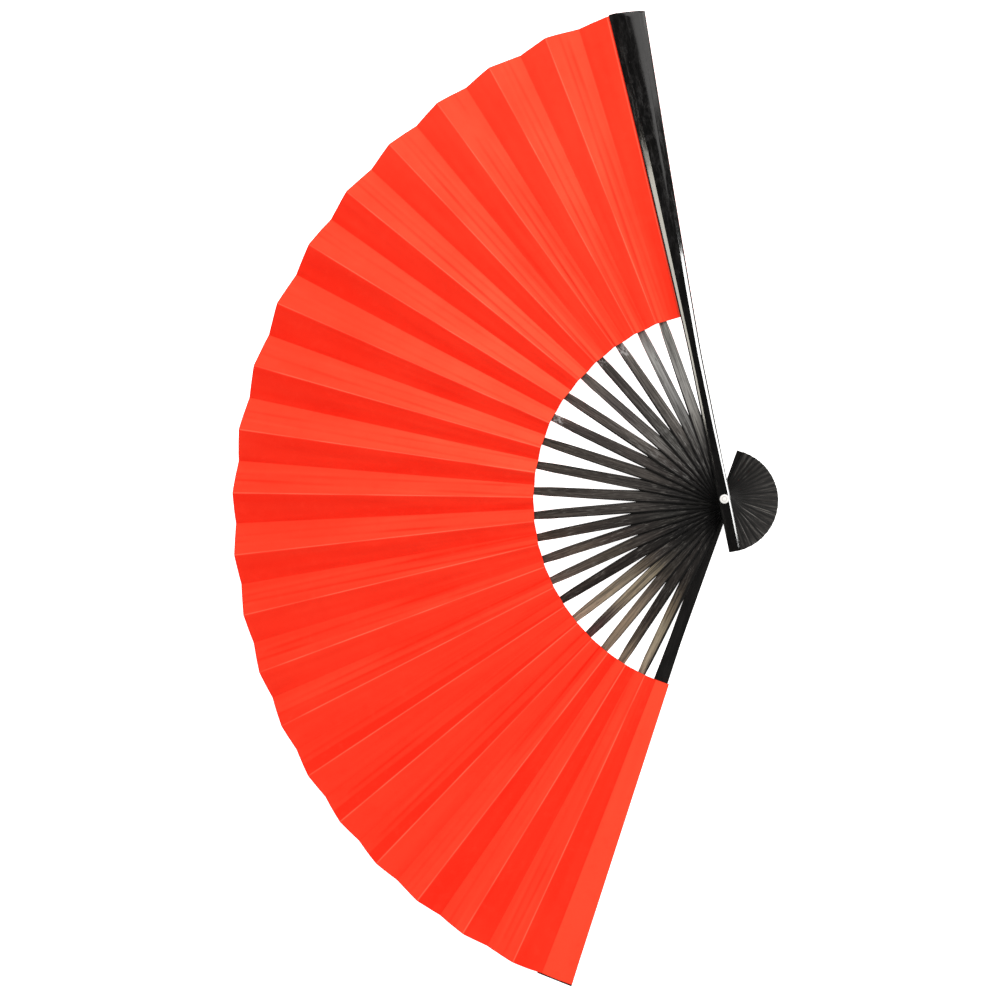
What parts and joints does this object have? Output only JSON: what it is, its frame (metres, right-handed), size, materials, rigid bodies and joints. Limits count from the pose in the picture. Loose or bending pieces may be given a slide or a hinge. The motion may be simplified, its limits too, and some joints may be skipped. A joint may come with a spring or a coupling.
{
  "type": "folding hand fan",
  "caption": "Folding hand fan with a red pleated leaf on black bamboo ribs between two flared guards, pinned by a rivet.",
  "frame": {"origin": "on the rivet's axis, at the rear guard's outer face, which rests on the table", "axes": "+Z along the rivet from the rear guard to the front guard, +Y from the rivet to the front guard's tip, and the leaf opens from the front guard towards -X"},
  "size_m": [0.3266, 0.5603, 0.0225],
  "materials": {
    "guard_lacquer": "gloss",
    "rib_bamboo": "satin",
    "leaf_red": "matte",
    "rivet_white": "gloss"
  },
  "bodies": {
    "front_guard": {"front_guard": "guard_lacquer", "rivet_pin": "rivet_white", "rivet_cap": "rivet_white", "leaf_front_end": "leaf_red"},
    "rear_guard": {"rear_guard": "guard_lacquer", "leaf_rear_end": "leaf_red"},
    "rib_01": {"rib_01": "rib_bamboo"},
    "rib_02": {"rib_02": "rib_bamboo"},
    "rib_03": {"rib_03": "rib_bamboo"},
    "rib_04": {"rib_04": "rib_bamboo"},
    "rib_05": {"rib_05": "rib_bamboo"},
    "rib_06": {"rib_06": "rib_bamboo"},
    "rib_07": {"rib_07": "rib_bamboo"},
    "rib_08": {"rib_08": "rib_bamboo"},
    "rib_09": {"rib_09": "rib_bamboo"},
    "rib_10": {"rib_10": "rib_bamboo"},
    "rib_11": {"rib_11": "rib_bamboo"},
    "rib_12": {"rib_12": "rib_bamboo"},
    "rib_13": {"rib_13": "rib_bamboo"},
    "rib_14": {"rib_14": "rib_bamboo"},
    "rib_15": {"rib_15": "rib_bamboo"},
    "rib_16": {"rib_16": "rib_bamboo"},
    "rib_17": {"rib_17": "rib_bamboo"},
    "rib_18": {"rib_18": "rib_bamboo"},
    "rib_19": {"rib_19": "rib_bamboo"},
    "rib_20": {"rib_20": "rib_bamboo"},
    "leaf_00": {"leaf_pleat_00": "leaf_red"},
    "leaf_01": {"leaf_pleat_01": "leaf_red"},
    "leaf_02": {"leaf_pleat_02": "leaf_red"},
    "leaf_03": {"leaf_pleat_03": "leaf_red"},
    "leaf_04": {"leaf_pleat_04": "leaf_red"},
    "leaf_05": {"leaf_pleat_05": "leaf_red"},
    "leaf_06": {"leaf_pleat_06": "leaf_red"},
    "leaf_07": {"leaf_pleat_07": "leaf_red"},
    "leaf_08": {"leaf_pleat_08": "leaf_red"},
    "leaf_09": {"leaf_pleat_09": "leaf_red"},
    "leaf_10": {"leaf_pleat_10": "leaf_red"},
    "leaf_11": {"leaf_pleat_11": "leaf_red"},
    "leaf_12": {"leaf_pleat_12": "leaf_red"},
    "leaf_13": {"leaf_pleat_13": "leaf_red"},
    "leaf_14": {"leaf_pleat_14": "leaf_red"},
    "leaf_15": {"leaf_pleat_15": "leaf_red"},
    "leaf_16": {"leaf_pleat_16": "leaf_red"},
    "leaf_17": {"leaf_pleat_17": "leaf_red"},
    "leaf_18": {"leaf_pleat_18": "leaf_red"},
    "leaf_19": {"leaf_pleat_19": "leaf_red"},
    "leaf_20": {"leaf_pleat_20": "leaf_red"}
  },
  "joints": [
    {"name": "fan_fold", "type": "hinge", "parent": "front_guard", "child": "rear_guard", "pos_m": [0, 0, 0.00135], "axis": [0, 0, 1], "range_deg": [-149.3, 0]},
    {"name": "rib_turn_01", "type": "hinge", "parent": "front_guard", "child": "rib_01", "pos_m": [0, 0, 0.01738], "axis": [0, 0, 1], "range_deg": [-8.3, 0.5]},
    {"name": "rib_turn_02", "type": "hinge", "parent": "front_guard", "child": "rib_02", "pos_m": [0, 0, 0.01663], "axis": [0, 0, 1], "range_deg": [-15.67, 0.5]},
    {"name": "rib_turn_03", "type": "hinge", "parent": "front_guard", "child": "rib_03", "pos_m": [0, 0, 0.01588], "axis": [0, 0, 1], "range_deg": [-22.99, 0.5]},
    {"name": "rib_turn_04", "type": "hinge", "parent": "front_guard", "child": "rib_04", "pos_m": [0, 0, 0.01512], "axis": [0, 0, 1], "range_deg": [-30.36, 0.5]},
    {"name": "rib_turn_05", "type": "hinge", "parent": "front_guard", "child": "rib_05", "pos_m": [0, 0, 0.01438], "axis": [0, 0, 1], "range_deg": [-37.8, 0.5]},
    {"name": "rib_turn_06", "type": "hinge", "parent": "front_guard", "child": "rib_06", "pos_m": [0, 0, 0.01362], "axis": [0, 0, 1], "range_deg": [-45.42, 0.5]},
    {"name": "rib_turn_07", "type": "hinge", "parent": "front_guard", "child": "rib_07", "pos_m": [0, 0, 0.01287], "axis": [0, 0, 1], "range_deg": [-53.23, 0.5]},
    {"name": "rib_turn_08", "type": "hinge", "parent": "front_guard", "child": "rib_08", "pos_m": [0, 0, 0.01213], "axis": [0, 0, 1], "range_deg": [-61.1, 0.5]},
    {"name": "rib_turn_09", "type": "hinge", "parent": "front_guard", "child": "rib_09", "pos_m": [0, 0, 0.01137], "axis": [0, 0, 1], "range_deg": [-68.86, 0.5]},
    {"name": "rib_turn_10", "type": "hinge", "parent": "front_guard", "child": "rib_10", "pos_m": [0, 0, 0.01063], "axis": [0, 0, 1], "range_deg": [-76.42, 0.5]},
    {"name": "rib_turn_11", "type": "hinge", "parent": "front_guard", "child": "rib_11", "pos_m": [0, 0, 0.00988], "axis": [0, 0, 1], "range_deg": [-83.78, 0.5]},
    {"name": "rib_turn_12", "type": "hinge", "parent": "front_guard", "child": "rib_12", "pos_m": [0, 0, 0.00912], "axis": [0, 0, 1], "range_deg": [-90.95, 0.5]},
    {"name": "rib_turn_13", "type": "hinge", "parent": "front_guard", "child": "rib_13", "pos_m": [0, 0, 0.00838], "axis": [0, 0, 1], "range_deg": [-97.91, 0.5]},
    {"name": "rib_turn_14", "type": "hinge", "parent": "front_guard", "child": "rib_14", "pos_m": [0, 0, 0.00762], "axis": [0, 0, 1], "range_deg": [-104.68, 0.5]},
    {"name": "rib_turn_15", "type": "hinge", "parent": "front_guard", "child": "rib_15", "pos_m": [0, 0, 0.00688], "axis": [0, 0, 1], "range_deg": [-111.27, 0.5]},
    {"name": "rib_turn_16", "type": "hinge", "parent": "front_guard", "child": "rib_16", "pos_m": [0, 0, 0.00613], "axis": [0, 0, 1], "range_deg": [-117.7, 0.5]},
    {"name": "rib_turn_17", "type": "hinge", "parent": "front_guard", "child": "rib_17", "pos_m": [0, 0, 0.00537], "axis": [0, 0, 1], "range_deg": [-124.03, 0.5]},
    {"name": "rib_turn_18", "type": "hinge", "parent": "front_guard", "child": "rib_18", "pos_m": [0, 0, 0.00462], "axis": [0, 0, 1], "range_deg": [-130.32, 0.5]},
    {"name": "rib_turn_19", "type": "hinge", "parent": "front_guard", "child": "rib_19", "pos_m": [0, 0, 0.00387], "axis": [0, 0, 1], "range_deg": [-136.64, 0.5]},
    {"name": "rib_turn_20", "type": "hinge", "parent": "front_guard", "child": "rib_20", "pos_m": [0, 0, 0.00313], "axis": [0, 0, 1], "range_deg": [-143.08, 0.5]},
    {"name": "leaf_crease_00", "type": "hinge", "parent": "front_guard", "child": "leaf_00", "pos_m": [-0.00817, 0.2037, 0.0179], "axis": [-0.0401, 0.9992, -0.0009], "range_deg": [-168.05, 0.6], "deforming": ["leaf_pleat_00"]},
    {"name": "leaf_crease_01", "type": "hinge", "parent": "rib_01", "child": "leaf_01", "pos_m": [-0.03413, 0.20097, 0.0191], "axis": [-0.1683, 0.9857, 0.0069], "range_deg": [-152.59, 0.6], "deforming": ["leaf_pleat_01"]},
    {"name": "leaf_crease_02", "type": "hinge", "parent": "rib_02", "child": "leaf_02", "pos_m": [-0.0595, 0.19497, 0.01829], "axis": [-0.2927, 0.9562, 0.0066], "range_deg": [-153.02, 0.6], "deforming": ["leaf_pleat_02"]},
    {"name": "leaf_crease_03", "type": "hinge", "parent": "rib_03", "child": "leaf_03", "pos_m": [-0.08386, 0.1858, 0.01754], "axis": [-0.4122, 0.9111, 0.0066], "range_deg": [-153.13, 0.6], "deforming": ["leaf_pleat_03"]},
    {"name": "leaf_crease_04", "type": "hinge", "parent": "rib_04", "child": "leaf_04", "pos_m": [-0.10702, 0.17349, 0.0168], "axis": [-0.5258, 0.8506, 0.0067], "range_deg": [-153.07, 0.6], "deforming": ["leaf_pleat_04"]},
    {"name": "leaf_crease_05", "type": "hinge", "parent": "rib_05", "child": "leaf_05", "pos_m": [-0.12869, 0.15807, 0.01607], "axis": [-0.632, 0.7749, 0.0068], "range_deg": [-153.22, 0.6], "deforming": ["leaf_pleat_05"]},
    {"name": "leaf_crease_06", "type": "hinge", "parent": "rib_06", "child": "leaf_06", "pos_m": [-0.14863, 0.13947, 0.01535], "axis": [-0.7298, 0.6836, 0.0069], "range_deg": [-153.53, 0.6], "deforming": ["leaf_pleat_06"]},
    {"name": "leaf_crease_07", "type": "hinge", "parent": "rib_07", "child": "leaf_07", "pos_m": [-0.16628, 0.11787, 0.01463], "axis": [-0.8163, 0.5776, 0.007], "range_deg": [-153.61, 0.6], "deforming": ["leaf_pleat_07"]},
    {"name": "leaf_crease_08", "type": "hinge", "parent": "rib_08", "child": "leaf_08", "pos_m": [-0.18084, 0.09403, 0.01388], "axis": [-0.8876, 0.4605, 0.007], "range_deg": [-153.42, 0.6], "deforming": ["leaf_pleat_08"]},
    {"name": "leaf_crease_09", "type": "hinge", "parent": "rib_09", "child": "leaf_09", "pos_m": [-0.19183, 0.06892, 0.0131], "axis": [-0.9414, 0.3373, 0.0069], "range_deg": [-153.25, 0.6], "deforming": ["leaf_pleat_09"]},
    {"name": "leaf_crease_10", "type": "hinge", "parent": "rib_10", "child": "leaf_10", "pos_m": [-0.1992, 0.04326, 0.01231], "axis": [-0.9774, 0.2113, 0.0067], "range_deg": [-153.19, 0.6], "deforming": ["leaf_pleat_10"]},
    {"name": "leaf_crease_11", "type": "hinge", "parent": "rib_11", "child": "leaf_11", "pos_m": [-0.2031, 0.01755, 0.01152], "axis": [-0.9963, 0.0852, 0.0065], "range_deg": [-153.13, 0.6], "deforming": ["leaf_pleat_11"]},
    {"name": "leaf_crease_12", "type": "hinge", "parent": "rib_12", "child": "leaf_12", "pos_m": [-0.20372, -0.00775, 0.01073], "axis": [-0.9992, -0.0389, 0.0063], "range_deg": [-153.06, 0.6], "deforming": ["leaf_pleat_12"]},
    {"name": "leaf_crease_13", "type": "hinge", "parent": "rib_13", "child": "leaf_13", "pos_m": [-0.20132, -0.03222, 0.00994], "axis": [-0.9873, -0.159, 0.0061], "range_deg": [-152.96, 0.6], "deforming": ["leaf_pleat_13"]},
    {"name": "leaf_crease_14", "type": "hinge", "parent": "rib_14", "child": "leaf_14", "pos_m": [-0.19617, -0.05556, 0.00916], "axis": [-0.9619, -0.2734, 0.0059], "range_deg": [-152.86, 0.6], "deforming": ["leaf_pleat_14"]},
    {"name": "leaf_crease_15", "type": "hinge", "parent": "rib_15", "child": "leaf_15", "pos_m": [-0.18857, -0.07756, 0.00837], "axis": [-0.9245, -0.3813, 0.0058], "range_deg": [-152.77, 0.6], "deforming": ["leaf_pleat_15"]},
    {"name": "leaf_crease_16", "type": "hinge", "parent": "rib_16", "child": "leaf_16", "pos_m": [-0.17875, -0.09811, 0.0076], "axis": [-0.8762, -0.482, 0.0057], "range_deg": [-152.7, 0.6], "deforming": ["leaf_pleat_16"]},
    {"name": "leaf_crease_17", "type": "hinge", "parent": "rib_17", "child": "leaf_17", "pos_m": [-0.16688, -0.11716, 0.00683], "axis": [-0.8179, -0.5753, 0.0056], "range_deg": [-152.65, 0.6], "deforming": ["leaf_pleat_17"]},
    {"name": "leaf_crease_18", "type": "hinge", "parent": "rib_18", "child": "leaf_18", "pos_m": [-0.15306, -0.13472, 0.00609], "axis": [-0.75, -0.6614, 0.0056], "range_deg": [-152.63, 0.6], "deforming": ["leaf_pleat_18"]},
    {"name": "leaf_crease_19", "type": "hinge", "parent": "rib_19", "child": "leaf_19", "pos_m": [-0.13727, -0.15077, 0.00535], "axis": [-0.6725, -0.7401, 0.0057], "range_deg": [-152.56, 0.6], "deforming": ["leaf_pleat_19"]},
    {"name": "leaf_crease_20", "type": "hinge", "parent": "rib_20", "child": "leaf_20", "pos_m": [-0.11893, -0.16559, 0.00454], "axis": [-0.5831, -0.8124, 0.007], "range_deg": [-163.38, 0.6], "deforming": ["leaf_pleat_20"]}
  ],
  "couplings": [
    {"joint": "rib_turn_01", "follows": "fan_fold", "ratio": 0.052247},
    {"joint": "rib_turn_02", "follows": "fan_fold", "ratio": 0.10164},
    {"joint": "rib_turn_03", "follows": "fan_fold", "ratio": 0.15067},
    {"joint": "rib_turn_04", "follows": "fan_fold", "ratio": 0.19998},
    {"joint": "rib_turn_05", "follows": "fan_fold", "ratio": 0.24985},
    {"joint": "rib_turn_06", "follows": "fan_fold", "ratio": 0.30086},
    {"joint": "rib_turn_07", "follows": "fan_fold", "ratio": 0.35319},
    {"joint": "rib_turn_08", "follows": "fan_fold", "ratio": 0.40592},
    {"joint": "rib_turn_09", "follows": "fan_fold", "ratio": 0.45785},
    {"joint": "rib_turn_10", "follows": "fan_fold", "ratio": 0.50848},
    {"joint": "rib_turn_11", "follows": "fan_fold", "ratio": 0.55779},
    {"joint": "rib_turn_12", "follows": "fan_fold", "ratio": 0.6058},
    {"joint": "rib_turn_13", "follows": "fan_fold", "ratio": 0.65246},
    {"joint": "rib_turn_14", "follows": "fan_fold", "ratio": 0.6978},
    {"joint": "rib_turn_15", "follows": "fan_fold", "ratio": 0.74192},
    {"joint": "rib_turn_16", "follows": "fan_fold", "ratio": 0.78503},
    {"joint": "rib_turn_17", "follows": "fan_fold", "ratio": 0.82743},
    {"joint": "rib_turn_18", "follows": "fan_fold", "ratio": 0.86952},
    {"joint": "rib_turn_19", "follows": "fan_fold", "ratio": 0.91183},
    {"joint": "rib_turn_20", "follows": "fan_fold", "ratio": 0.95496},
    {"joint": "leaf_crease_00", "follows": "fan_fold", "ratio": 1.1216},
    {"joint": "leaf_crease_01", "follows": "fan_fold", "ratio": 1.018},
    {"joint": "leaf_crease_02", "follows": "fan_fold", "ratio": 1.0209},
    {"joint": "leaf_crease_03", "follows": "fan_fold", "ratio": 1.0216},
    {"joint": "leaf_crease_04", "follows": "fan_fold", "ratio": 1.0213},
    {"joint": "leaf_crease_05", "follows": "fan_fold", "ratio": 1.0222},
    {"joint": "leaf_crease_06", "follows": "fan_fold", "ratio": 1.0243},
    {"joint": "leaf_crease_07", "follows": "fan_fold", "ratio": 1.0248},
    {"joint": "leaf_crease_08", "follows": "fan_fold", "ratio": 1.0236},
    {"joint": "leaf_crease_09", "follows": "fan_fold", "ratio": 1.0225},
    {"joint": "leaf_crease_10", "follows": "fan_fold", "ratio": 1.022},
    {"joint": "leaf_crease_11", "follows": "fan_fold", "ratio": 1.0217},
    {"joint": "leaf_crease_12", "follows": "fan_fold", "ratio": 1.0211},
    {"joint": "leaf_crease_13", "follows": "fan_fold", "ratio": 1.0205},
    {"joint": "leaf_crease_14", "follows": "fan_fold", "ratio": 1.0198},
    {"joint": "leaf_crease_15", "follows": "fan_fold", "ratio": 1.0192},
    {"joint": "leaf_crease_16", "follows": "fan_fold", "ratio": 1.0188},
    {"joint": "leaf_crease_17", "follows": "fan_fold", "ratio": 1.0184},
    {"joint": "leaf_crease_18", "follows": "fan_fold", "ratio": 1.0183},
    {"joint": "leaf_crease_19", "follows": "fan_fold", "ratio": 1.0178},
    {"joint": "leaf_crease_20", "follows": "fan_fold", "ratio": 1.0903}
  ]
}
